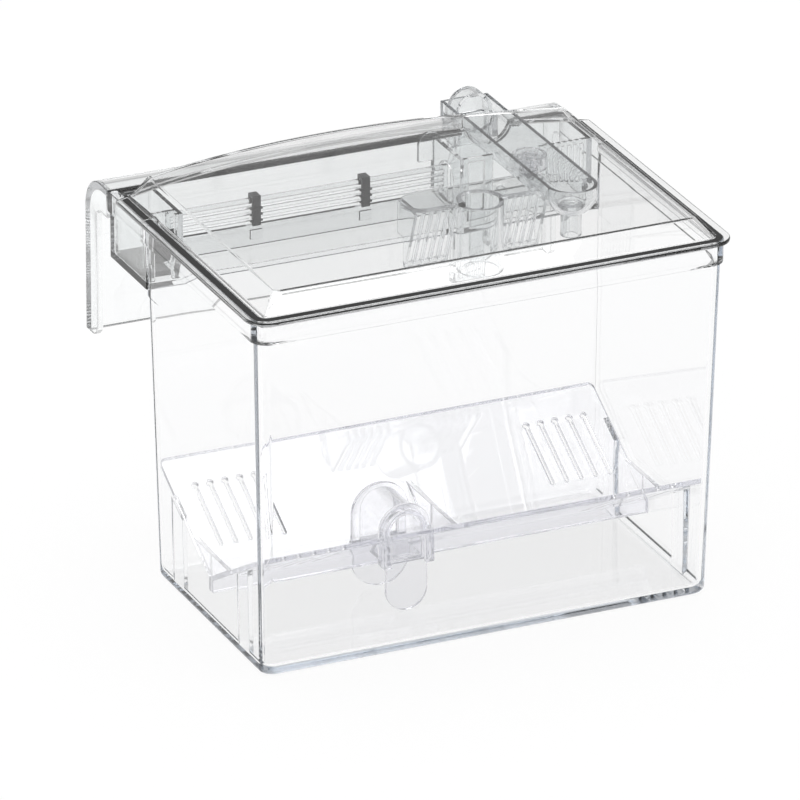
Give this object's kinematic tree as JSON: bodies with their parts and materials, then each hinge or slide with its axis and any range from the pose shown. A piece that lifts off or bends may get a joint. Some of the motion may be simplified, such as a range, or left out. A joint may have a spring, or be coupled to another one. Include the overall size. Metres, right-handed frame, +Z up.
{
  "type": "fish breeding box",
  "caption": "Clear box that hooks over an aquarium wall, with a lid, a slotted V floor with a fry gate, an overflow tray and an air-lift water feed.",
  "frame": {"origin": "centre of the underside of the tank's base", "axes": "+Z up, +X along the long side to the right as seen from the front, +Y from the front to the tray and hook"},
  "size_m": [0.2176, 0.1827, 0.1709],
  "materials": {
    "clear_plastic": "gloss",
    "black_plastic": "gloss"
  },
  "bodies": {
    "tank": {"tank_shell": "clear_plastic", "rear_tray": "clear_plastic", "tank_hook": "clear_plastic", "overflow_screen": "clear_plastic", "screen_clips": "black_plastic", "weir_box": "clear_plastic", "pump_housing": "clear_plastic", "inlet_strainer": "clear_plastic", "water_chute": "clear_plastic", "outlet_nozzle": "clear_plastic", "riser_pipe": "clear_plastic", "riser_hood": "clear_plastic", "air_nozzle": "clear_plastic"},
    "lid": {"lid": "clear_plastic"},
    "v_floor": {"rear_slope": "clear_plastic", "front_slope": "clear_plastic", "fry_tunnel": "clear_plastic"},
    "gate": {"tunnel_shutter": "clear_plastic"},
    "weir_gate": {"weir_shutter": "black_plastic"},
    "dial": {"flow_dial": "clear_plastic"}
  },
  "joints": [
    {"name": "lid_lift", "type": "slide", "parent": "tank", "child": "lid", "axis": [0, 0, 1], "range_m": [0, 0.1]},
    {"name": "v_floor_lift", "type": "slide", "parent": "tank", "child": "v_floor", "axis": [0, 0, 1], "range_m": [0, 0.06]},
    {"name": "gate_slide", "type": "slide", "parent": "v_floor", "child": "gate", "axis": [0, 0, 1], "range_m": [0, 0.021]},
    {"name": "weir_slide", "type": "slide", "parent": "tank", "child": "weir_gate", "axis": [0, 0, 1], "range_m": [0, 0.006]},
    {"name": "dial_turn", "type": "hinge", "parent": "tank", "child": "dial", "pos_m": [0.0675, 0.0511, 0.16], "axis": [0, 0, 1], "range_deg": [0, 120]}
  ]
}
